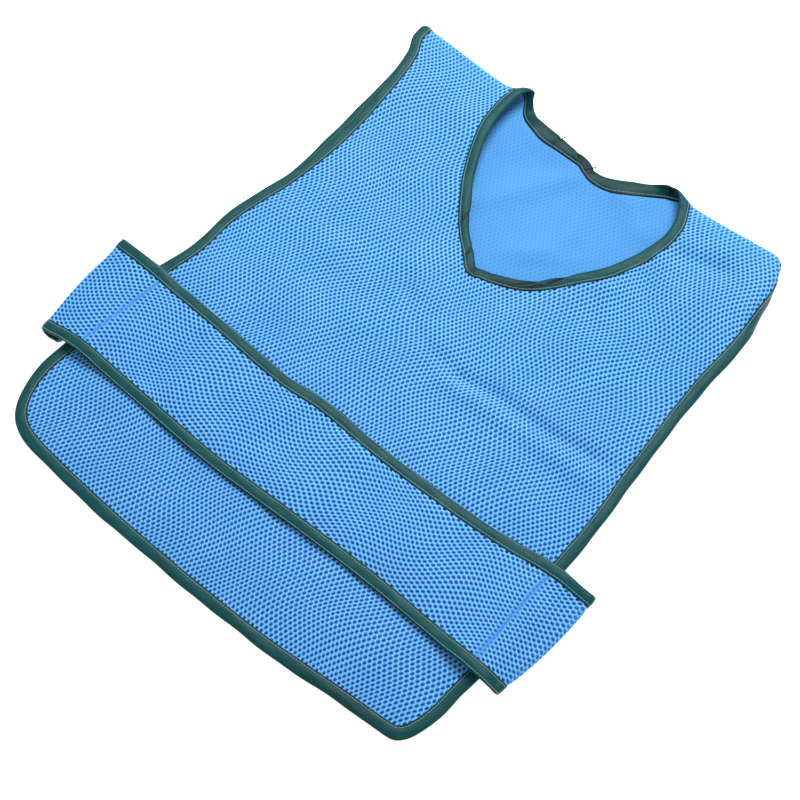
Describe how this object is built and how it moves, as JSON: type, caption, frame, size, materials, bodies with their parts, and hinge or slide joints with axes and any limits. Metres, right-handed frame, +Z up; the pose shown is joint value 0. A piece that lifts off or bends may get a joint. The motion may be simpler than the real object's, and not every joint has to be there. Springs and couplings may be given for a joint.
{
  "type": "restraint vest",
  "caption": "Sleeveless mesh restraint vest lying flat: front and back joined over the shoulders, V neck, taped edges and a wide waist band folded into a strap loop at either end.",
  "frame": {"origin": "on the floor under the middle of the whole box, as the vest lies face up", "axes": "+Z up out of the floor, +Y along the vest from hem to shoulders, +X to the right as seen from above with the neck at the top"},
  "size_m": [0.5514, 0.5894, 0.0221],
  "materials": {
    "air_mesh": "light blue spacer mesh with small round holes, matt",
    "binding_tape": "dark green folded binding tape, slight satin sheen"
  },
  "bodies": {
    "root": {"front_panel": "air_mesh", "back_panel": "air_mesh", "waist_band": "air_mesh", "neck_binding": "binding_tape", "front_edge_binding": "binding_tape", "back_edge_binding": "binding_tape", "waist_band_upper_binding": "binding_tape", "waist_band_lower_binding": "binding_tape"}
  },
  "joints": []
}
